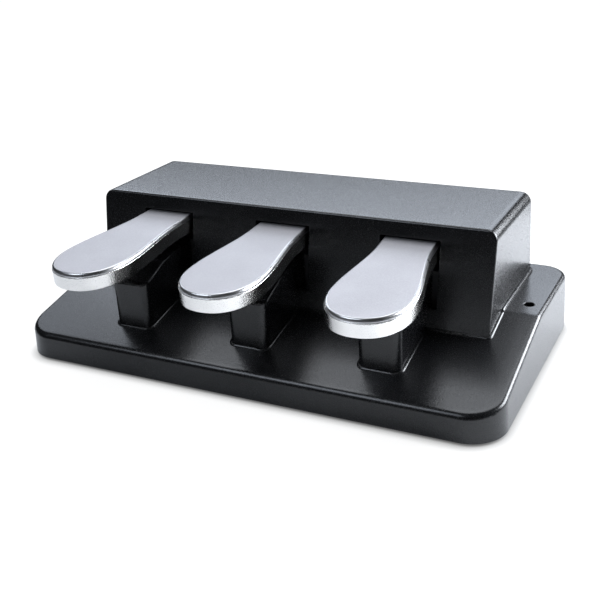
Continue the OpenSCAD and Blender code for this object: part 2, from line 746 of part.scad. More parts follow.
// Height of the wire's centre: closed end turns, even pitch between
function wire_z(t) = let (free = spring_top - spring_low - spring_wire - 2 * spring_clear,
    s = max(0, min(1, (t * spring_turns - 0.75) / (spring_turns - 1.5))))
    spring_low + spring_clear + spring_wire / 2 + spring_wire * 0.9 * min(t * spring_turns, 0.75) / 0.75
    + (free - 2 * 0.9 * spring_wire) * s
    + spring_wire * 0.9 * max(0, t * spring_turns - spring_turns + 0.75) / 0.75;
module spring(side) {
    rings = turn_steps * spring_turns;
    points = [for (i = [0 : rings]) for (k = [0 : wire_sides - 1])
        let (a = 360 * i / turn_steps, b = 360 * k / wire_sides,
            r = coil_r + cos(b) * spring_wire / 2)
        [r * cos(a), r * sin(a), wire_z(i / rings) + sin(b) * spring_wire / 2]];
    walls = [for (i = [0 : rings - 1]) for (k = [0 : wire_sides - 1])
        let (n = (k + 1) % wire_sides, a = i * wire_sides, b = a + wire_sides)
        [a + k, b + k, b + n, a + n]];
    ends = [[for (k = [0 : wire_sides - 1]) k],
        [for (k = [wire_sides - 1 : -1 : 0]) rings * wire_sides + k]];
    color("#aeb1b6") translate([side * pitch, pivot_y - spring_front, 0])
        polyhedron(points, concat(walls, ends), convexity = 10);
}
module spring_left() { spring(-1); }
module spring_centre() { spring(0); }
module spring_right() { spring(1); }

base_shell();
housing_shell();
guard_left();
guard_centre();
guard_right();
base_plate();
rubber_feet();
case_screws();
bracket_left();
bracket_centre();
bracket_right();
bracket_screws();
pivot_shaft();
shaft_clips();
stop_rail();
rail_screws();
lower_felts();
upper_felts();
sensor_board();
board_spacers();
board_screws();
light_gates();
wire_header();
cable_gland();
pedal_left();
pedal_centre();
pedal_right();
lever_left();
lever_centre();
lever_right();
bushes_left();
bushes_centre();
bushes_right();
pedal_screws_left();
pedal_screws_centre();
pedal_screws_right();
flag_left();
flag_centre();
flag_right();
spring_left();
spring_centre();
spring_right();
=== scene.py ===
"""Dresses the three-pedal floor unit: the moulded case, the silver pedals and a plain stage."""

import math

import bmesh
import bpy
import numpy as np
from bpy.props import FloatProperty, FloatVectorProperty, PointerProperty
from bpy.types import Operator, Panel, PropertyGroup
from mathutils import Matrix, Vector


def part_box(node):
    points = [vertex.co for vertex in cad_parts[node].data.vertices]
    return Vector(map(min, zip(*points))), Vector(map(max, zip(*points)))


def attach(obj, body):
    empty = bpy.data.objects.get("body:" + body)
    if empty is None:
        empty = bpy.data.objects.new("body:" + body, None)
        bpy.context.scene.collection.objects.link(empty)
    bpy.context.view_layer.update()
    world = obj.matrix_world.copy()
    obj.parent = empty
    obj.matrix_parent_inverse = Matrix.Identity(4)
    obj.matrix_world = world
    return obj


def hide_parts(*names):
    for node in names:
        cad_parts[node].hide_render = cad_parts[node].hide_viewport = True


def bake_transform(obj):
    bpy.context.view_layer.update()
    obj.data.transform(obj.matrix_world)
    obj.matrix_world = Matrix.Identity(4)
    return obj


bl_info = {
    "name": "Pedal unit",
    "version": (1, 0, 0),
    "blender": (4, 5, 0),
    "location": "View3D > Sidebar > Pedal unit",
    "description": "Builds a dressed three-pedal floor unit around its solid parts",
    "category": "Add Mesh",
}

MM = 0.001
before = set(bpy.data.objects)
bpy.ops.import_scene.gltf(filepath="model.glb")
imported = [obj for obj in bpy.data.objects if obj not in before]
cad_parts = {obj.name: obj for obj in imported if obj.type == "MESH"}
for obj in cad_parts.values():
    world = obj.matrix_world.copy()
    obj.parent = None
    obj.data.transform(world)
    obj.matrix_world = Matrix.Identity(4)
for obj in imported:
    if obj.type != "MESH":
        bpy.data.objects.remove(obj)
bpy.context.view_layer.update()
BASE_LOW, BASE_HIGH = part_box("base_shell")
# Heights of the case's lower rim and of the housing's top.
RIM, TOP = BASE_LOW.z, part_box("housing_shell")[1].z
SIDES = {"left": -1, "centre": 0, "right": 1}
# Places that differ by less are the same.
NEAR = 1e-7


# ---- settings

def length(name, description, default):
    """One length in metres, shown in the user's own units."""
    return FloatProperty(name=name, description=description, default=default,
                         min=0.0, max=1.0, unit="LENGTH", precision=4)


def colour(name, description, default):
    """One colour of a finish."""
    return FloatVectorProperty(name=name, description=description, default=default,
                               size=3, min=0.0, max=1.0, subtype="COLOR")


def share(name, description, default):
    """A number from 0 to 1."""
    return FloatProperty(name=name, description=description, default=default,
                         min=0.0, max=1.0, subtype="FACTOR")


def angle(name, description, degrees):
    """One angle."""
    return FloatProperty(name=name, description=description, default=math.radians(degrees),
                         subtype="ANGLE")


def watts(name, default):
    """Power of one softbox."""
    return FloatProperty(name=name, description="Power in watts", default=default, min=0.0)


class CaseShape(PropertyGroup):
    """Sizes of the moulded case."""
    front_height: length("Front height", "Base at its front edge", 15.5 * MM)
    flange_height: length("Flange height", "Level rear flange", 33 * MM)
    flange_start: length("Flange start", "Level flange behind the housing face", 16.5 * MM)
    front_corner: length("Front corners", "Plan radius", 19.5 * MM)
    rear_corner: length("Rear corners", "Plan radius", 16 * MM)
    edge: length("Upper edge", "Rounding of the base's upper edge", 3 * MM)
    wall: length("Wall", "Thickness of the moulding", 2.5 * MM)
    draft: share("Draft", "Lean of the base's walls per unit of height", 0.04)
    face_lean: share("Face lean", "Lean of the housing's front", 0.16)
    rear_lean: share("Rear lean", "Lean of the housing's rear", 0.16)
    housing_half: length("Housing half width", "At its top", 121 * MM)
    housing_depth: length("Housing depth", "Flat top", 69 * MM)
    side_edge: length("Side edges", "Rounding of the housing's long side edges", 6 * MM)
    face_edge: length("Face edges", "Rounding of the front and rear edges", 1.3 * MM)
    upright_edge: length("Upright edges", "Rounding of the housing's upright edges", 1.2 * MM)
    slot_width: length("Slot width", "Opening for a pedal", 33.4 * MM)
    slot_low: length("Slot foot", "Lower edge above the case's rim", 38.5 * MM)
    slot_high: length("Slot head", "Upper edge above the case's rim", 74.4 * MM)
    pitch: length("Pitch", "Distance between neighbouring pedals", 75 * MM)
    hole: length("Screw hole", "Radius of a flange hole", 2.8 * MM)
    hole_span: length("Hole span", "Distance between the flange holes", 263.8 * MM)
    hole_back: length("Hole place", "Behind the housing face", 28.5 * MM)


class PedalShape(PropertyGroup):
    """Sizes of a pedal."""
    toe: length("Toe half width", "Widest place", 21.5 * MM)
    neck: length("Neck half width", "At the slot", 15.5 * MM)
    straight: length("Straight neck", "In front of the housing face", 12 * MM)
    reach: length("Reach", "In front of the housing face", 91 * MM)
    centre: length("Widest place", "In front of the housing face", 64 * MM)
    tail: length("Tail", "Behind the housing face", 11 * MM)
    height: length("Height", "Top at the face above the case's rim", 73.2 * MM)
    fall: share("Fall", "Slope towards the toe", 0.06)
    skirt: length("Skirt", "Depth of the skirt", 10 * MM)
    step: length("Step", "Depth of the fine step under the rounded rim", 2.2 * MM)
    rim: length("Rim", "Width of the polished rounding round the top", 1.5 * MM)
    plate: length("Plate", "Thickness of the top", 3 * MM)
    wall: length("Wall", "Thickness of the skirt", 2.5 * MM)
    turn: angle("Outward turn", "Of the two outer pedals", 3.9)


class Finishes(PropertyGroup):
    """Colours and roughness of the finishes."""
    plastic: colour("Case plastic", "Satin black moulding", (0.0034, 0.0036, 0.0042))
    plastic_worn: colour("Case plastic, rubbed", "Where feet rub", (0.0052, 0.0055, 0.0062))
    plastic_roughness: share("Case roughness", "Mean roughness", 0.25)
    satin: colour("Pedal top", "Satin metal", (0.405, 0.398, 0.412))
    satin_worn: colour("Pedal top, rubbed", "Where feet rub", (0.475, 0.466, 0.482))
    # Painted shade: the rim is a darker copy of the polished metal, which dims the highlight on
    # the pedal's rounded rim.
    rim: colour("Pedal rim", "Rounded rim of a pedal", (0.45, 0.45, 0.455))
    polish: colour("Pedal edge", "Polished metal", (0.80, 0.785, 0.76))
    zinc: colour("Zinc", "Black plated steel", (0.10, 0.10, 0.105))
    steel: colour("Steel", "Ground steel", (0.62, 0.63, 0.64))
    felt: colour("Felt", "Pressed wool", (0.012, 0.012, 0.013))
    rubber: colour("Rubber", "Feet and gland", (0.018, 0.018, 0.018))
    nylon: colour("Nylon", "Bushes and spacers", (0.74, 0.72, 0.66))
    paint: colour("Plate paint", "Powder coat", (0.012, 0.012, 0.013))
    board: colour("Board", "Solder mask", (0.02, 0.14, 0.06))


class StageSetup(PropertyGroup):
    """Camera and light."""
    lens: FloatProperty(name="Lens", description="Focal length in millimetres",
                        default=56.31, min=10, max=300)
    azimuth: angle("Azimuth", "Camera to the right of the front", 27.5)
    elevation: angle("Elevation", "Camera above the horizon", 23.41)
    roll: angle("Roll", "Camera tilt", -3.0)
    place: FloatVectorProperty(name="Camera place", description="In metres", size=3,
                               default=(0.2352, -0.4361, 0.2431), subtype="TRANSLATION",
                               unit="LENGTH")
    rear_light: watts("Rear light", 8.5)
    left_light: watts("Left light", 1.7)
    right_light: watts("Right light", 8.0)
    front_light: watts("Front light", 3.6)
    top_light: watts("Top light", 9.8)
    world: share("Room", "Strength of the room's light", 0.035)
    pale_reach: length("Pale floor", "Radius of the bright floor round the unit", 0.30)
    lit_reach: length("Lit floor", "Where the lamps' share of white falls to a quarter", 0.95)


# ---- steps and surfaces

class Step:
    """What the steps share: each makes its pieces from the scene's settings."""

    def execute(self, context):
        self.make(context.scene)
        return {"FINISHED"}


def new_object(name, data):
    """An object that is in the scene."""
    obj = bpy.data.objects.new(name, data)
    bpy.context.scene.collection.objects.link(obj)
    return obj


class Skin:
    """Collects grids and flat faces, then makes one closed mesh of them."""

    def __init__(self):
        self.points, self.faces, self.slots, self.count = [], [], [], 0

    def add(self, points):
        """Adds rows of points and gives back their indices in the same arrangement."""
        points = np.asarray(points, float)
        start = self.count
        self.count += points.size // 3
        self.points.append(points.reshape(-1, 3))
        return np.arange(start, self.count).reshape(points.shape[:-1])

    def grid(self, points, around=True, keep=None, slot=0, close=()):
        """Rows of points, each joined to the next. around closes every row into a ring;
        keep is True where a cell stays; close holds the numbers, 0 for the first row and
        -1 for the last, of rows that get a flat face. Rows run upward and points
        anticlockwise, so that faces point outward."""
        at = self.add(points)
        near = np.roll(at, -1, axis=1) if around else at[:, 1:]
        here = at if around else at[:, :-1]
        cells = np.stack([here[:-1], near[:-1], near[1:], here[1:]], axis=-1)
        if keep is not None:
            cells = cells[keep]
        cells = cells.reshape(-1, 4)
        self.faces.extend(cells.tolist())
        slot = np.broadcast_to(slot, (len(cells),))
        self.slots.extend(slot.tolist())
        for row in close:
            self.flat(at[row] if row else at[row][::-1])
        return at

    def flat(self, ring, slot=0):
        """One flat face over a ring of point indices."""
        self.faces.append([int(i) for i in ring])
        self.slots.append(slot)

    def build(self, name, finishes, body, replaces, sharp=32.0):
        """Makes the object, merges the seams and shades it smooth between sharp edges. A
        piece that bends between two bodies is given no body here."""
        mesh = bpy.data.meshes.new(name)
        mesh.from_pydata(np.concatenate(self.points).tolist(), [], self.faces)
        for finish_name in finishes:
            mesh.materials.append(make_finishes()[finish_name])
        mesh.polygons.foreach_set("material_index", np.array(self.slots, np.int32))
        obj = new_object(name, mesh)
        weld(mesh)
        mesh.shade_smooth()
        mesh.set_sharp_from_angle(angle=math.radians(sharp))
        if body:
            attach(obj, body)
        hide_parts(*replaces)
        return obj


def weld(mesh, distance=1e-6):
    """Joins points that lie on each other and drops faces without area."""
    work = bmesh.new()
    work.from_mesh(mesh)
    bmesh.ops.remove_doubles(work, verts=work.verts, dist=distance)
    bmesh.ops.dissolve_degenerate(work, edges=work.edges, dist=distance)
    work.to_mesh(mesh)
    work.free()
    mesh.update()


def spaced(low, high, step):
    """Evenly spaced values from low to high, both included, about step apart."""
    return np.linspace(low, high, max(2, int(round((high - low) / step)) + 1))


def arc(centre, radius, start, stop, count):
    """Points on an arc with the outward unit vectors: centre + radius (cos a, sin a)."""
    a = np.radians(np.linspace(start, stop, count))
    out = np.stack([np.cos(a), np.sin(a)], axis=-1)
    return np.asarray(centre) + radius * out, out


def rounded_plan(half, front, rear, r_front, r_rear, front_x, side_y, rear_x, turns=24):
    """A rounded rectangle, anticlockwise from above, starting at the front's left end.
    Its straight sides carry the given places; front_x and rear_x run between the corner
    centres, side_y too, and each side gets one more place close to either corner. Gives
    back points and outward normals."""
    lines = []

    def straight(x, y, normal):
        points = np.stack(np.broadcast_arrays(x, y), -1)
        lines.append((points, np.broadcast_to(normal, points.shape)))

    def corner(x, y, radius, start):
        lines.append(arc((x, y), radius, start, start + 90, turns))

    by = 0.8 * MM
    x_end, x_rear = half - r_front, half - r_rear
    y_end, y_rear = front + r_front, rear - r_rear
    sides = [y_end + by, *side_y, y_rear - by]
    straight([-x_end + by, *front_x, x_end - by], front, (0, -1))
    corner(x_end, y_end, r_front, -90)
    straight(half, sides, (1, 0))
    corner(x_rear, y_rear, r_rear, 0)
    straight([x_rear - by, *rear_x[::-1], -x_rear + by], rear, (0, 1))
    corner(-x_rear, y_rear, r_rear, 90)
    straight(-half, sides[::-1], (-1, 0))
    corner(-x_end, y_end, r_front, 180)
    return tuple(np.concatenate(part) for part in zip(*lines))


def quarter(count):
    """Sines and one-minus-cosines of a quarter turn: the two legs of a rounding."""
    a = np.linspace(0, math.pi / 2, count)
    return np.sin(a), 1 - np.cos(a)


def at_height(plan, z):
    """The points of a plan, all at one height or each at its own."""
    return np.column_stack([plan, np.broadcast_to(z, len(plan))])


def run(ring, start, stop):
    """The part of a closed ring from one place to another, both included, in its order."""
    return [ring[(start + k) % len(ring)] for k in range((stop - start) % len(ring) + 1)]


def solid_points(node):
    """The corner points of a solid, a row for each."""
    return np.array([vertex.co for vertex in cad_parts[node].data.vertices])


def deck_height(case, y):
    """Height of the base's upper side at y: a slope that levels off at the flange, the
    bend drawn as a soft maximum a millimetre wide."""
    start = BASE_LOW.y + case.draft * case.front_height + case.edge
    slope = (case.flange_height - case.front_height) / (case.flange_start - start)
    soft = 0.8 * MM
    down = soft * np.logaddexp(0, (case.flange_start - np.asarray(y, float)) / soft)
    return RIM + case.flange_height - slope * down


# ---- finishes

# How much paler a rubbed place is where a finish names no colour for it.
WORN_GAIN = 1.18


def node_tree(name):
    """A new material's nodes, links, principled shader and object coordinates."""
    material = bpy.data.materials.new(name)
    material.use_nodes = True
    tree = material.node_tree
    return material, tree, tree.nodes["Principled BSDF"], add(tree, "TexCoord", {}, "Object")


def feed(tree, node, inputs):
    """Sets a node's inputs, each to a number or a colour, or links an output to it."""
    for name, value in inputs.items():
        if isinstance(value, bpy.types.NodeSocket):
            tree.links.new(value, node.inputs[name])
        else:
            node.inputs[name].default_value = value


def add(tree, kind, inputs, output=0, **settings):
    """Adds a node, sets its settings and inputs, and gives back one of its outputs."""
    node = tree.nodes.new("ShaderNode" + kind)
    for name, value in settings.items():
        setattr(node, name, value)
    feed(tree, node, inputs)
    return node.outputs[output]


def noise(tree, place, scale, detail=2.0, roughness=0.5, stretch=None):
    """A noise of a size given in waves per metre; stretch scales its three axes."""
    if stretch is not None:
        place = add(tree, "Mapping", {"Vector": place, "Scale": stretch})
    return add(tree, "TexNoise", {"Vector": place, "Scale": scale, "Detail": detail,
                                  "Roughness": roughness}, "Fac")


def spread(tree, value, low, high, start=0.3, stop=0.7):
    """Maps a value from the range start to stop, a noise's own, onto low to high."""
    return add(tree, "MapRange", {"Value": value, "From Min": start, "From Max": stop,
                                  "To Min": low, "To Max": high}, "Result")


def calc(tree, operation, first, second):
    """One step of arithmetic on two values, each a number or an output."""
    return add(tree, "Math", {0: first, 1: second}, operation=operation)


def blend_colours(tree, factor, first, second):
    """Mixes two colours by a value."""
    return add(tree, "Mix", {"Factor": factor, "A": first, "B": second}, "Result",
               data_type="RGBA")


def finish(name, base, worn=None, metal=0.0, rough=(0.35, 0.5), wear_size=25.0,
           grain_size=900.0, grain_height=0.02 * MM, speckle=0.0, stretch=None, coat=0.0,
           fleck=0.0):
    """A finish with cloudy colour, uneven gloss, a fine grain and speckled gloss; fleck is
    the grain's share in the colour."""
    material, tree, shader, place = node_tree(name)
    worn = worn or [min(1.0, WORN_GAIN * c) for c in base]
    wear = spread(tree, noise(tree, place, wear_size, 4.0, 0.6), 0.0, 1.0)
    grain = noise(tree, place, grain_size, 3.0, 0.6, stretch)
    if fleck:
        wear = calc(tree, "ADD", wear, spread(tree, grain, -fleck, fleck))
    cloudy = blend_colours(tree, wear, (*base, 1), (*worn, 1))
    gloss = spread(tree, noise(tree, place, wear_size * 3, 5.0, 0.65, stretch), *rough)
    if speckle:
        gloss = calc(tree, "ADD", gloss, spread(tree, grain, -speckle, speckle))
    relief = add(tree, "Bump", {"Height": grain, "Distance": grain_height}, "Normal")
    feed(tree, shader, {"Base Color": cloudy, "Metallic": metal, "Coat Weight": coat,
                        "Roughness": gloss, "Normal": relief})
    return material


def make_finishes():
    """Every finish of the object, by name. A finish that exists is used again."""
    look = bpy.context.scene.pedal_finishes
    r = look.plastic_roughness
    recipes = {
        "case_plastic": dict(base=look.plastic, worn=look.plastic_worn,
                             rough=(r - 0.012, r + 0.012), wear_size=9.0, grain_size=1600.0,
                             grain_height=0.03 * MM, speckle=0.05),
        "pedal_satin": dict(base=look.satin, worn=look.satin_worn, metal=1.0,
                            rough=(0.68, 0.72), wear_size=14.0, grain_size=1300.0,
                            grain_height=0.08 * MM, speckle=0.09, fleck=0.8),
        # Painted shade: a darker copy of the polished metal for the rounded rim, which dims its
        # highlight.
        "pedal_rim": dict(base=look.rim, metal=1.0, rough=(0.26, 0.32), wear_size=60.0,
                          grain_size=1100.0, grain_height=0.06 * MM),
        "pedal_polish": dict(base=look.polish, metal=1.0, rough=(0.11, 0.17), wear_size=60.0,
                             grain_size=1100.0, grain_height=0.15 * MM, speckle=0.04),
        "zinc_plate": dict(base=look.zinc, metal=1.0, rough=(0.28, 0.46), wear_size=40.0),
        "ground_steel": dict(base=look.steel, metal=1.0, rough=(0.16, 0.26),
                             stretch=(0.3, 8.0, 8.0), grain_size=300.0),
        "spring_wire": dict(base=look.steel, metal=1.0, rough=(0.2, 0.3)),
        "dark_steel": dict(base=(0.16, 0.16, 0.17), metal=1.0),
        "wool_felt": dict(base=look.felt, rough=(0.85, 0.98), wear_size=200.0,
                          grain_size=2600.0, grain_height=0.25 * MM),
        "soft_rubber": dict(base=look.rubber, rough=(0.6, 0.8), grain_size=1100.0,
                            grain_height=0.03 * MM),
        "white_nylon": dict(base=look.nylon),
        "powder_coat": dict(base=look.paint, rough=(0.6, 0.75), grain_size=1500.0,
                            grain_height=0.05 * MM),
        "solder_mask": dict(base=look.board, rough=(0.2, 0.35), coat=0.3),
        "black_insert": dict(base=(0.022, 0.022, 0.023), rough=(0.35, 0.45)),
    }
    return {name: bpy.data.materials.get(name) or finish(name, **recipe)
            for name, recipe in recipes.items()}


# ---- the base

# The open well in the base under the housing: half its width, its rear end, its floor
# above the case's rim.
WELL_HALF, WELL_REAR, WELL_FLOOR = 110 * MM, 70 * MM, 3.2 * MM
# The recess for the cable in the rear wall: its sides, its lower and upper edge, its depth.
RECESS_X = np.array([-68, -52]) * MM
RECESS_Z = np.array([4.5, 20.5]) * MM
RECESS_DEPTH = 4 * MM
# Places of the deck's bend, from the start of the level flange.
BEND = np.array([-6, -4, -2.5, -1.5, -0.7, 0, 0.7, 1.5, 2.5, 4]) * MM
# The square of deck round a screw hole: half its length, and its sides from the base's side.
PATCH, PATCH_SIDES = 4.6 * MM, np.array([6.0, 15.2]) * MM


def starts_between(places, low, high):
    """True for a cell of a grid that starts at low or after it, and before high."""
    return (places > low - NEAR) & (places < high - NEAR)


class PEDALUNIT_OT_base(Step, Operator):
    """Builds the base: drafted walls, a rounded upper edge, a sloping deck, two screw
    holes, the recess for the cable and the well under the housing"""
    bl_idname = "pedalunit.base"
    bl_label = "Base"

    def make(self, scene):
        case = scene.pedal_case
        plan, normal = self.plan(case)
        rows, recess_row = self.rows(case, plan, normal)
        x, y = plan.T
        keep = np.ones((len(rows) - 1, len(plan)), bool)
        rear_side = normal[:, 1] > 1 - NEAR
        # On the rear and left sides the places run backwards, so a cell starts at its end.
        keep[recess_row, rear_side & starts_between(x, *(RECESS_X + 2 * NEAR))] = False
        for side, shift in ((-1, 2 * NEAR), (1, 0)):
            hole = case.hole_back + shift
            patch = starts_between(y, hole - PATCH, hole + PATCH)
            keep[-1, (normal[:, 0] * side > 1 - NEAR) & patch] = False
        skin = Skin()
        at = skin.grid(rows, keep=keep, close=(0,))
        self.close_deck(skin, case, at[-1], rows[-1])
        for side in (-1, 1):
            self.screw_hole(skin, case, side)
        self.recess(skin, case)
        skin.build("case_base", ["case_plastic"], "base", ["base_shell"])

    @staticmethod
    def plan(case):
        """The outline at the floor, with places for the bend, the holes and the recess."""
        front, rear, hole = BASE_LOW.y, BASE_HIGH.y, case.hole_back
        bend = case.flange_start + BEND
        side_y = np.concatenate([spaced(front + 24 * MM, bend[0] - 6 * MM, 9 * MM), bend,
                                 [hole - PATCH, hole + PATCH],
                                 spaced(hole + 13 * MM, rear - 20 * MM, 8 * MM)])
        rear_x = np.array([-118, -95, *(RECESS_X / MM), -30, -8, 15, 40, 65, 90, 118]) * MM
        return rounded_plan(BASE_HIGH.x, front, rear, case.front_corner, case.rear_corner,
                            spaced(-118 * MM, 118 * MM, 9 * MM), side_y, rear_x)

    @staticmethod
    def rows(case, plan, normal):
        """Rows of points from the inner rim down, out, up the wall and over the edge to the
        deck, with the number of the row that starts at the recess's lower edge."""

        def row(inset, height=None):
            """Ring of the plan drawn in by inset; on the deck where no height is given."""
            flat = plan - normal * np.broadcast_to(inset, len(plan))[:, None]
            z = deck_height(case, flat[:, 1]) if height is None else height
            return at_height(flat, z)

        def deck_at(inset):
            return row(inset)[:, 2]

        chamfer, soft = 0.45 * MM, 0.13 * MM
        rows = [row(case.wall, RIM + 3 * MM), row(case.wall, RIM), row(chamfer, RIM),
                row(soft, RIM + soft), row(0, RIM + chamfer)]
        wall = deck_at(case.edge + 0.5 * MM) - RIM - case.edge
        full = case.flange_height - case.edge
        recess_row = len(rows) + 1
        for part in (0.04, *(RECESS_Z - RIM) / full, 0.97, 1.0):
            rows.append(row(case.draft * part * wall, RIM + part * wall))
        foot = case.draft * wall
        for sine, side in zip(*quarter(12)):
            inset = foot + case.edge * side
            rows.append(row(inset, deck_at(inset) - case.edge * (1 - sine)) if sine else rows[-1])
        rows += [row(inset) for inset in (4.75 * MM, *PATCH_SIDES)]
        return np.array(rows), recess_row

    @staticmethod
    def close_deck(skin, case, ring, points):
        """Fills the deck inside the last ring: one flat face before the bend, one behind
        it, and strips between matching places on the two sides. Under the housing the
        deck is open, as a well that leaves room for the levers."""
        x, y = points[:, 0], points[:, 1]
        on_side = x > x.max() - 0.1 * MM
        bend = y - case.flange_start
        band = np.flatnonzero(on_side & (bend > BEND[0] - NEAR) & (bend < BEND[-1] + NEAR))
        mirror = {i: int(np.argmin(np.hypot(x + x[i], y - y[i]))) for i in band}
        low, high = band[0], band[-1]
        edge = np.concatenate([points[band], [points[high]]]) * [0, 1, 1]
        edge[-1, 1] = WELL_REAR
        loop = np.concatenate([edge + [WELL_HALF, 0, 0], (edge - [WELL_HALF, 0, 0])[::-1]])
        well = skin.grid([loop, loop * [1, 1, 0] + [0, 0, RIM + WELL_FLOOR]], close=(-1,))
        right, left = well[0][:len(edge)], well[0][len(edge):][::-1]
        skin.flat([*run(ring, mirror[low], low), right[0], left[0]])
        skin.flat([*run(ring, high, mirror[high]), left[-2], left[-1], right[-1], right[-2]])
        for k, (a, b) in enumerate(zip(band[:-1], band[1:])):
            skin.flat([ring[mirror[a]], left[k], left[k + 1], ring[mirror[b]]])
            skin.flat([right[k], ring[a], ring[b], right[k + 1]])

    @staticmethod
    def screw_hole(skin, case, side):
        """A square of deck with a round hole: four flat faces join the square's corners to
        a circle, and rows go over a small rounding down into the hole."""
        centre = np.array([side * case.hole_span / 2, case.hole_back])
        x = sorted(side * (BASE_HIGH.x - PATCH_SIDES))
        y = case.hole_back - PATCH, case.hole_back + PATCH
        corners = np.array([(x[i], y[k]) for i, k in ((1, 1), (0, 1), (0, 0), (1, 0))])
        a = np.radians(np.arange(0, 360, 7.5) + 45)
        out = np.stack([np.cos(a), np.sin(a)], -1)
        edge, depth = 0.5 * MM, 9 * MM
        deck = float(deck_height(case, case.hole_back))
        steps = [(case.hole + edge + 0.3 * MM, 0.0)]
        steps += [(case.hole + edge * (1 - s), -edge * f) for s, f in zip(*quarter(7))]
        steps.append((case.hole, -depth))
        rows = [at_height(centre + out * r, deck + h) for r, h in steps]
        at = skin.grid(rows, close=(-1,))
        square = skin.add(at_height(corners, deck_height(case, corners[:, 1])))
        part = len(a) // 4
        for k in range(4):
            bow = run(at[0], k * part, (k + 1) * part)[::-1]
            skin.flat([square[k], square[(k + 1) % 4], *bow])

    @staticmethod
    def recess(skin, case):
        """The square recess in the rear wall: straight walls from the drafted wall in to a
        flat floor."""
        loop = [(RECESS_X[i], RECESS_Z[k]) for i, k in ((0, 0), (0, 1), (1, 1), (1, 0))]
        outer = [(x, BASE_HIGH.y - case.draft * (z - RIM), z) for x, z in loop]
        inner = [(x, BASE_HIGH.y - RECESS_DEPTH, z) for x, z in loop]
        skin.grid([outer, inner], close=(-1,))


# ---- the housing

# Profile of the lip at a wall's foot, outermost first: how far out and how high.
LIP = np.array([(1.3, -0.8), (1.3, 0.1), (1.15, 0.4), (0.85, 0.72), (0.55, 0.92), (0.32, 0.98),
                (0.25, 0.5), (0.2, 0.0)]) * MM


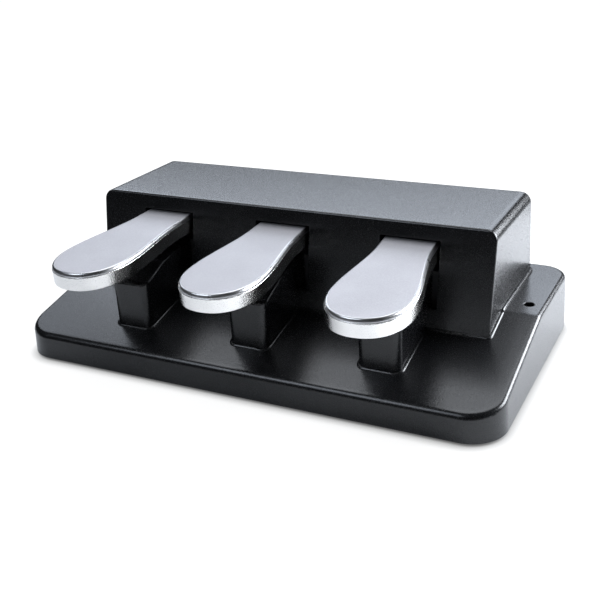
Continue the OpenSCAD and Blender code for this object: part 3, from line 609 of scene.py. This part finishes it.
class PEDALUNIT_OT_housing(Step, Operator):
    """Builds the housing: leaning front and rear, rounded upper edges, three slots and
    the hollow behind them"""
    bl_idname = "pedalunit.housing"
    bl_label = "Housing"

    # Rounding of a slot's edge; the skin's foot, inside the base; ends of the straight runs.
    lip, foot, run_end = 0.5 * MM, 20 * MM, 108 * MM

    def make(self, scene):
        case = scene.pedal_case
        centres = case.pitch * np.array(list(SIDES.values()))
        slot_low, slot_high = RIM + case.slot_low, RIM + case.slot_high
        opening = case.slot_width / 2 + self.lip
        low, high = slot_low - self.lip, slot_high + self.lip
        edges = np.concatenate([[c - opening, c + opening] for c in centres])
        front_x = np.sort([*edges, -self.run_end, self.run_end, *(centres[:-1] + case.pitch / 2)])
        rows = self.rows(case, self.heights(case, low, high), front_x)
        keep = np.ones((len(rows) - 1, rows.shape[1]), bool)
        x, following = rows[1, :, 0], np.roll(rows[1, :, 0], -1)
        on_face = (rows[1, :, 1] < self.face(case, low) / 2) & (following > x)
        for c in centres:
            keep[1, on_face & (x > c - opening - NEAR) & (following < c + opening + NEAR)] = False
        skin = Skin()
        skin.grid(rows, keep=keep, close=(0, -1))
        for c in centres:
            self.slot(skin, case, c, opening, low, high)
        self.room(skin, case, centres, slot_low, slot_high)
        self.foot_line(skin, case)
        skin.build("case_housing", ["case_plastic"], "base", ["housing_shell"])

    @staticmethod
    def face(case, z):
        """Place of the front face at height z."""
        return -case.face_lean * (TOP - z)

    def heights(self, case, low, high):
        """Heights of the rows: the foot, the slots' edges, and the rounding at the sides
        as far as the smaller rounding at the front, then that."""
        side = TOP - case.side_edge * (1 - quarter(14)[0])
        lower = np.array([RIM + self.foot, low, high, side[0] - 0.4 * MM, *side])
        front = TOP - case.face_edge * (1 - quarter(9)[0])
        return [*lower[lower < front[0] - 0.35 * MM], front[0] - 0.3 * MM, *front]

    def rows(self, case, heights, front_x):
        """A rounded rectangle at each height, and one ring more on the flat top."""

        def rounding(z, radius):
            """How far an edge of that radius has drawn in at height z."""
            up = np.clip(z - (TOP - radius), 0, radius)
            return radius - math.sqrt(max(radius ** 2 - up ** 2, 0))

        rear_x = spaced(-self.run_end, self.run_end, 24 * MM)
        rows = []
        for z in heights:
            draw = rounding(z, case.face_edge)
            front = self.face(case, z) + draw
            rear = case.housing_depth + case.rear_lean * (TOP - z) - draw
            plan, _ = rounded_plan(case.housing_half - rounding(z, case.side_edge), front, rear,
                                   case.upright_edge, case.upright_edge, front_x,
                                   np.linspace(front + 3 * MM, rear - 3 * MM, 12), rear_x, 7)
            rows.append(at_height(plan, z))
        centre = np.array([0, case.housing_depth / 2, TOP])
        rows.append(rows[-1] - np.sign(rows[-1] - centre) * [0.8 * MM, 0.8 * MM, 0])
        return np.array(rows)

    def room(self, skin, case, centres, low, high):
        """The hollow inside: the wall's inner faces, with the three slots left open."""
        half, rear = case.housing_half - case.wall, case.housing_depth - case.wall
        edges = [c + side * case.slot_width / 2 for c in centres for side in (-1, 1)]
        xs = np.array([-half, *edges, half, half, -half])
        rows = []
        for z in (TOP - case.wall, high, low, RIM + self.foot + 0.5 * MM):
            ys = np.full(len(xs), self.face(case, z) + case.wall)
            ys[-2:] = rear
            rows.append(np.column_stack([xs, ys, np.full(len(xs), z)]))
        keep = np.ones((3, len(xs)), bool)
        keep[1, [1, 3, 5]] = False
        skin.grid(rows, keep=keep, close=(0, -1))

    def foot_line(self, skin, case):
        """A narrow lip on the base round the housing's foot, with a hair's gap to its wall.
        On the level flange it stands higher."""
        flange = RIM + case.flange_height
        front = self.face(case, flange)
        for _ in range(12):
            front = self.face(case, float(deck_height(case, front)))
        rear = case.housing_depth + case.rear_lean * (TOP - flange)
        side_y = np.concatenate([spaced(front + 3 * MM, case.flange_start - 3.6 * MM, 3 * MM),
                                 case.flange_start - np.array([2.6, 2.3]) * MM,
                                 spaced(case.flange_start, rear - 3 * MM, 4 * MM)])
        run_x = spaced(-110 * MM, 110 * MM, 20 * MM)
        plan, normal = rounded_plan(case.housing_half, front, rear, case.upright_edge,
                                    case.upright_edge, run_x, side_y, run_x, 7)
        raised = np.where(plan[:, 1] > case.flange_start - 2.5 * MM, 1.0 * MM, 0.0)
        rows = []
        for out, rise in LIP:
            flat = plan + normal * out
            height = deck_height(case, flat[:, 1]) + rise + raised * (rise > 0)
            rows.append(at_height(flat, height))
        rows += [rows[-1] + [0, 0, -2 * MM], rows[0] + [0, 0, -1 * MM], rows[0]]
        skin.grid(rows)

    def slot(self, skin, case, centre, opening, low, high):
        """The inner edge of a slot: a rectangle carried inward over a small rounding and
        through the wall."""
        rows = []
        for s, f in [*zip(*quarter(6)), (1, case.wall / self.lip)]:
            draw, depth = self.lip * s, self.lip * f
            half, foot, head = opening - draw, low + draw, high - draw
            rows.append([(centre + x, self.face(case, z) + depth, z)
                         for x, z in ((-half, foot), (half, foot), (half, head), (-half, head))])
        skin.grid(rows)


# ---- the guards

class PEDALUNIT_OT_guards(Step, Operator):
    """Builds the three guards under the pedals, each with a narrow lip at its foot"""
    bl_idname = "pedalunit.guards"
    bl_label = "Guards"

    # Upper edge's rounding; plan radii at the front and the rear; end inside the housing.
    edge, front_r, rear_r, rear = 0.8 * MM, 4.2 * MM, 0.5 * MM, 1.5 * MM
    side_y = np.array([-40, -34, -28, -26.5, -26, -25.5, -24, -21, -18.5, -18, -17.5, -14,
                       -10, -7.5, -7, -6.5, -3]) * MM
    across_x = np.array([-4, 0, 4]) * MM

    def make(self, scene):
        case = scene.pedal_case
        for name, side in SIDES.items():
            self.guard(case, name, side * case.pitch)

    @staticmethod
    def upper_line(case, name):
        """Upper line of a guard, read from its solid: the highest point at each place."""
        co = solid_points("guard_" + name)
        places = np.unique(np.round(co[:, 1], 5))
        tops = np.array([co[np.abs(co[:, 1] - y) < 0.02 * MM, 2].max() for y in places])
        good = tops > deck_height(case, places) + 15 * MM
        return places[good], tops[good]

    def guard(self, case, name, centre):
        """One guard: lip, upright walls, rounded upper edge, and strips over its top."""
        low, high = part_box("guard_" + name)
        line = self.upper_line(case, name)
        plan, normal = rounded_plan((high.x - low.x) / 2, low.y, self.rear, self.front_r,
                                    self.rear_r, self.across_x, self.side_y, self.across_x, 14)
        plan = plan + [centre, 0]

        def ring(inset, rise, on_deck=False):
            flat = plan - normal * inset
            y = flat[:, 1]
            base = deck_height(case, y) if on_deck else np.interp(y, *line)
            return at_height(flat, base + rise)

        edge = self.edge
        rows = [ring(-out, rise, True) for out, rise in LIP]
        rows += [ring(0, 0, True), ring(0, 1.5 * MM, True), ring(0, -edge - 0.4 * MM)]
        rows += [ring(edge * f, -edge * (1 - s)) for s, f in zip(*quarter(8))]
        rows.append(ring(edge + 0.5 * MM, 0))
        skin = Skin()
        top = skin.grid(rows, close=(0,))[-1]
        right = np.flatnonzero(normal[:, 0] > 1e-6)
        left = np.flatnonzero(normal[:, 0] < -1e-6)[::-1]
        for corners in zip(left[:-1], right[:-1], right[1:], left[1:]):
            skin.flat(top[list(corners)])
        skin.flat(run(top, left[0], right[0]))
        skin.flat(run(top, right[-1], left[-1]))
        skin.build("case_guard_" + name, ["case_plastic"], "base", ["guard_" + name])


# ---- the pedals

class PEDALUNIT_OT_pedals(Step, Operator):
    """Builds the three silver pedals: a satin top, a rounded edge over a step, and a
    polished skirt"""
    bl_idname = "pedalunit.pedals"
    bl_label = "Pedals"

    # Roundings of the skirt's outer and inner lower edge, and how far the step goes in.
    foot, inner_foot, step_in = 0.55 * MM, 0.35 * MM, 0.2 * MM
    satin, polish, rounded = 0, 1, 2

    @staticmethod
    def outline(shape):
        """Half width against place: straight at the neck, widening as 3 u^2 - 2 u^3 up to
        the widest place, then a superellipse of power 2.2 round the toe. Gives back points
        and outward normals, anticlockwise."""
        y_neck = -np.linspace(0, shape.centre, 60)
        u = ((-y_neck - shape.straight) / (shape.centre - shape.straight)).clip(0, 1)
        x_neck = shape.neck + (shape.toe - shape.neck) * u * u * (3 - 2 * u)
        a = np.linspace(0, math.pi / 2, 60)[1:]
        power = 2 / 2.2
        x_toe = shape.toe * np.cos(a).clip(0) ** power
        y_toe = -shape.centre - (shape.reach - shape.centre) * np.sin(a) ** power
        y_tail = np.linspace(shape.tail, 0, 8)[:-1]
        right = np.column_stack([[*np.full_like(y_tail, shape.neck), *x_neck, *x_toe],
                                 [*y_tail, *y_neck, *y_toe]])
        right[-1, 0] = 0
        loop = np.concatenate([right, right[-2::-1] * [-1, 1]])[::-1]
        along = np.gradient(loop, axis=0)
        normal = np.column_stack([along[:, 1], -along[:, 0]])
        return loop, normal / np.linalg.norm(normal, axis=1, keepdims=True)

    def rows(self, shape):
        """The section of a pedal as insets from the outline and heights, from under the
        top round the skirt's foot, up over the step and the rounded rim, onto the top.
        With it, the surface of each band between two rows."""
        skirt, step, wall = shape.skirt, shape.step, shape.wall
        rows = [(wall, -shape.plate), (wall, -skirt + self.inner_foot),
                (wall - self.inner_foot, -skirt), (self.foot, -skirt)]
        rows += [(self.foot * (1 - s), -skirt + self.foot * f) for s, f in zip(*quarter(8))]
        rows += [(0, -skirt + 1.2 * MM), (0, -step - 1.0 * MM), (0, -step - 0.3 * MM),
                 (0.06 * MM, -step - 0.12 * MM), (self.step_in, -step)]
        rim_from, turns = len(rows) - 2, 14
        rows += [(self.step_in + shape.rim * f, -(step - 0.08 * MM) * (1 - s))
                 for s, f in zip(*quarter(turns))]
        satin_from = rim_from + turns
        rows += [(shape.rim + 0.7 * MM, 0), (4 * MM, 0), (7 * MM, 0)]
        bands = np.full(len(rows) - 1, self.polish)
        bands[rim_from:satin_from] = self.rounded
        bands[satin_from:] = self.satin
        return rows, bands

    def make(self, scene):
        case, shape = scene.pedal_case, scene.pedal_shape
        loop, normal = self.outline(shape)
        rows, bands = self.rows(shape)
        rings = np.array([at_height(loop - normal * inset, height) for inset, height in rows])
        metals = ["pedal_satin", "pedal_polish", "pedal_rim"]
        fall = Matrix.Rotation(math.atan(shape.fall), 4, "X")
        for name, side in SIDES.items():
            place = (Matrix.Translation((side * case.pitch, 0, RIM + shape.height))
                     @ fall @ Matrix.Rotation(side * shape.turn, 4, "Z"))
            m = np.array(place)
            skin = Skin()
            at = skin.grid(rings @ m[:3, :3].T + m[:3, 3], around=False,
                           slot=np.repeat(bands, len(loop) - 1))
            skin.flat(at[0][::-1], self.polish)
            skin.flat(at[-1], self.satin)
            skin.flat([*at[:, 0], *at[::-1, -1]], self.polish)
            skin.build("silver_pedal_" + name, metals, "pedal_" + name + "_arm",
                       ["pedal_" + name], sharp=40.0)


# ---- feet and springs

class PEDALUNIT_OT_feet(Step, Operator):
    """Builds the rubber feet, each turned from a profile with a hollow face"""
    bl_idname = "pedalunit.feet"
    bl_label = "Feet"

    radius = 9 * MM
    # Half the least distance between the middles of two feet.
    apart = 12 * MM

    def centres(self):
        """Middles of the feet's solids in plan: from a point of a foot, its middle is
        closed in on, and then the points near that middle are done with."""
        left = solid_points("rubber_feet")[:, :2]
        while len(left):
            middle = left[0]
            for _ in range(3):
                foot = left[np.hypot(*(left - middle).T) < self.apart]
                middle = (foot.min(0) + foot.max(0)) / 2
            yield middle
            left = left[np.hypot(*(left - middle).T) >= self.apart]

    def make(self, scene):
        low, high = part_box("rubber_feet")
        insets = [(2.6, 0.25), (2.2, 0), (0.6, 0), (0.2, 0.2), (0, 0.6)]
        profile = np.array([(self.radius - i * MM, h * MM) for i, h in insets]
                           + [(self.radius, high.z - low.z)])
        r, h = profile.T[:, :, None]
        a = np.linspace(0, 2 * math.pi, 48, endpoint=False)
        foot = np.stack([r * np.cos(a), r * np.sin(a), h + 0 * a], axis=-1)
        skin = Skin()
        for x, y in self.centres():
            skin.grid(foot + [x, y, low.z], close=(0, -1))
        skin.build("floor_feet", ["soft_rubber"], "base", ["rubber_feet"])


class PEDALUNIT_OT_springs(Step, Operator):
    """Builds the three return springs, which shorten and tilt as their pedals go down"""
    bl_idname = "pedalunit.springs"
    bl_label = "Return springs"

    # Turns; the part of a turn at each end that lies almost flat; radius of the wire.
    turns, flat, wire = 7, 0.75, 0.9 * MM

    def make(self, scene):
        for name in SIDES:
            low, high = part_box("spring_" + name)
            x, y = (low.x + high.x) / 2, (low.y + high.y) / 2
            skin = Skin()
            coil = self.coil(high.x - low.x, high.z - low.z)
            skin.grid(coil + [x, y, low.z], close=(0, -1))
            spring = skin.build("return_spring_" + name, ["spring_wire"], None,
                                ["spring_" + name])
            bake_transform(spring)

    def coil(self, width, height):
        """Rings of a round wire along a helix: (r + w cos b) in plan and z + w sin b in
        height. Each end rises by 0.9 of the wire's thickness, the turns between by what
        is left."""
        flat, wire = self.flat, self.wire
        t = np.linspace(0, self.turns, 26 * self.turns + 1)
        end = 1.8 * wire
        rise = np.clip((t - flat) / (self.turns - 2 * flat), 0, 1)
        z = wire + end * np.minimum(t, flat) / flat + (height - 2 * wire - 2 * end) * rise
        z += end * np.maximum(0, t - self.turns + flat) / flat
        a, b = 2 * math.pi * t[:, None], np.radians(np.arange(0, -360, -36))[None]
        r = width / 2 - wire + wire * np.cos(b)
        return np.stack([r * np.cos(a), r * np.sin(a), z[:, None] + wire * np.sin(b)], -1)


# ---- the other solids

# The finish of every solid that keeps its own surface; {} stands for each side.
SOLID_FINISHES = {
    "powder_coat": ("base_plate", "stop_rail", "bracket_{}"),
    "zinc_plate": ("case_screws", "bracket_screws", "rail_screws", "board_screws",
                   "pedal_screws_{}"),
    "ground_steel": ("pivot_shaft",),
    "dark_steel": ("shaft_clips", "lever_{}"),
    "wool_felt": ("lower_felts", "upper_felts"),
    "solder_mask": ("sensor_board",),
    "white_nylon": ("board_spacers", "wire_header", "bushes_{}"),
    "black_insert": ("light_gates", "flag_{}"),
    "soft_rubber": ("cable_gland",),
}


class PEDALUNIT_OT_inner_finishes(Step, Operator):
    """Gives every solid that stays in view its finish"""
    bl_idname = "pedalunit.inner_finishes"
    bl_label = "Finishes of the solids"

    def make(self, scene):
        finishes = make_finishes()
        for name, nodes in SOLID_FINISHES.items():
            for node in {node.format(side) for node in nodes for side in SIDES}:
                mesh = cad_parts[node].data
                mesh.materials.clear()
                mesh.materials.append(finishes[name])


# ---- the stage

MIDDLE, ORIGIN, BESIDE_FLANGE = (0, 0, 0.04), (0, 0, 0), (0.22, 0.14, 0)


def polar(azimuth, elevation, distance):
    """A place seen from the unit: degrees to the right of straight back, degrees up."""
    az, el = math.radians(azimuth), math.radians(elevation)
    return (distance * math.cos(el) * math.sin(az), distance * math.cos(el) * math.cos(az),
            distance * math.sin(el) + MIDDLE[2])


COOL, PALE = (0.82, 0.89, 1.0), (0.90, 0.94, 1.0)
# Each softbox: its place, what it faces, its width and height, and its tint.
SOFTBOXES = {
    "rear": (polar(-20, 30, 1.35), MIDDLE, (1.35, 0.5), COOL),
    "left": (polar(-57, 33, 1.3), MIDDLE, (0.6, 0.4), COOL),
    "right": ((0.475, 0.29, 0.225), BESIDE_FLANGE, (0.5, 0.25), PALE),
    "front": (polar(-150, 45, 1.1), MIDDLE, (0.6, 0.4), COOL),
    "top": (polar(-10, 69, 1.1), ORIGIN, (1.3, 0.7), PALE),
}
FLOOR_RADIUS = 6.0
# The floor's white where it is seen, and the lamps' share of it right under the unit.
WHITE, LIT_SHARE = 1.02, 0.09


class PEDALUNIT_OT_stage(Step, Operator):
    """Sets up the pale floor, the soft lights, the room's light and the camera"""
    bl_idname = "pedalunit.stage"
    bl_label = "Stage"

    def make(self, scene):
        setup = scene.pedal_stage
        self.floor(setup)
        self.world(scene, setup)
        for name, box in SOFTBOXES.items():
            self.light(name + "_softbox", getattr(setup, name + "_light"), *box)
        self.camera(scene, setup)
        scene.view_settings.view_transform = "Standard"

    @staticmethod
    def floor(setup):
        """A round white floor. The unit sees it pale close by and dark further off, a painted
        pool of light. Where it is looked at, it is the lamps' share of white, which carries the
        unit's shadow, and a glow that makes up the rest; close to the unit ambient occlusion dims
        that glow, a painted contact shadow. The share is LIT_SHARE divided by the square of
        one plus the square of distance over lit_reach."""
        a = np.linspace(0, 2 * math.pi, 96, endpoint=False)
        ring = np.stack([FLOOR_RADIUS * np.cos(a), FLOOR_RADIUS * np.sin(a), 0 * a], -1)
        mesh = bpy.data.meshes.new("floor")
        mesh.from_pydata(ring.tolist(), [], [list(range(len(ring)))])
        material, tree, shader, place = node_tree("white_floor")
        seen = add(tree, "LightPath", {}, "Is Camera Ray")
        distance = add(tree, "VectorMath", {0: place}, "Value", operation="LENGTH")
        cloud = spread(tree, noise(tree, place, 3.0), 0.0, 1.0)
        looked_at = blend_colours(tree, cloud, (0.13, 0.13, 0.13, 1), (0.135, 0.135, 0.133, 1))
        # Painted pool of light: the floor colour used for the unit's lighting is pale near the
        # unit and dark further off.
        beyond_painted_pool = spread(tree, distance, 0, 1, setup.pale_reach, setup.pale_reach + 0.12)
        painted_light_pool = blend_colours(tree, beyond_painted_pool, (0.85, 0.85, 0.85, 1), (0.12, 0.12, 0.12, 1))
        off = calc(tree, "POWER", calc(tree, "DIVIDE", distance, setup.lit_reach), 2.0)
        fall = calc(tree, "POWER", calc(tree, "ADD", off, 1.0), 2.0)
        rest = calc(tree, "SUBTRACT", WHITE, calc(tree, "DIVIDE", LIT_SHARE, fall))
        # Painted contact shadow: ambient occlusion dims the floor's glow close to the unit.
        painted_contact_shadow = add(tree, "AmbientOcclusion", {"Distance": 6 * MM}, "AO")
        glow = calc(tree, "MULTIPLY", rest, painted_contact_shadow)
        feed(tree, shader, {"Base Color": blend_colours(tree, seen, painted_light_pool, looked_at),
                            "Roughness": 0.9, "Specular IOR Level": 0.1,
                            "Emission Strength": calc(tree, "MULTIPLY", glow, seen),
                            "Emission Color": (1, 1, 1, 1)})
        mesh.materials.append(material)
        floor = new_object("floor", mesh)

    @staticmethod
    def world(scene, setup):
        """White where it is looked at, dim where it lights."""
        world = bpy.data.worlds.new("room")
        scene.world = world
        world.use_nodes = True
        tree = world.node_tree
        seen = add(tree, "LightPath", {}, "Is Camera Ray")
        feed(tree, tree.nodes["Background"],
             {"Color": (1, 1, 1, 1), "Strength": spread(tree, seen, setup.world, 1.0, 0.0, 1.0)})

    @staticmethod
    def light(name, power, place, target, size, tint):
        """A rectangular softbox at place that faces target."""
        data = bpy.data.lights.new(name, "AREA")
        data.shape = "RECTANGLE"
        data.size, data.size_y = size
        data.energy = power
        data.color = tint
        aim = (Vector(target) - Vector(place)).to_track_quat("-Z", "Y")
        new_object(name, data).matrix_world = Matrix.Translation(place) @ aim.to_matrix().to_4x4()

    @staticmethod
    def camera(scene, setup):
        """The camera, turned by its roll, elevation and azimuth, then put in its place."""
        data = bpy.data.cameras.new("camera")
        data.lens = setup.lens
        data.clip_start = 0.01
        scene.camera = new_object("camera", data)
        scene.camera.matrix_world = (Matrix.Translation(setup.place)
                                     @ Matrix.Rotation(setup.azimuth, 4, "Z")
                                     @ Matrix.Rotation(math.pi / 2 - setup.elevation, 4, "X")
                                     @ Matrix.Rotation(setup.roll, 4, "Z"))


class PEDALUNIT_PT_panel(Panel):
    """Lists the steps that build the unit"""
    bl_idname = "PEDALUNIT_PT_panel"
    bl_label = "Pedal unit"
    bl_space_type = "VIEW_3D"
    bl_region_type = "UI"
    bl_category = "Pedal unit"

    def draw(self, context):
        for group in GROUPS:
            box = self.layout.box()
            settings = getattr(context.scene, group)
            for name in settings.__annotations__:
                box.prop(settings, name)
        for step in STEPS:
            self.layout.operator(step.bl_idname)


STEPS = (PEDALUNIT_OT_stage, PEDALUNIT_OT_base, PEDALUNIT_OT_housing, PEDALUNIT_OT_guards,
         PEDALUNIT_OT_pedals, PEDALUNIT_OT_feet, PEDALUNIT_OT_springs,
         PEDALUNIT_OT_inner_finishes)
GROUPS = {"pedal_case": CaseShape, "pedal_shape": PedalShape, "pedal_finishes": Finishes,
          "pedal_stage": StageSetup}


def register():
    """Registers the settings, the steps and the panel."""
    for cls in (*GROUPS.values(), *STEPS, PEDALUNIT_PT_panel):
        bpy.utils.register_class(cls)
    for name, cls in GROUPS.items():
        setattr(bpy.types.Scene, name, PointerProperty(type=cls))


def unregister():
    """Takes them all away again."""
    for name in GROUPS:
        delattr(bpy.types.Scene, name)
    for cls in (PEDALUNIT_PT_panel, *STEPS[::-1], *GROUPS.values()):
        bpy.utils.unregister_class(cls)


def main():
    """Builds everything in order."""
    register()
    for step in STEPS:
        group, name = step.bl_idname.split(".")
        getattr(getattr(bpy.ops, group), name)()
    bpy.context.view_layer.update()


if __name__ == "__main__":
    main()
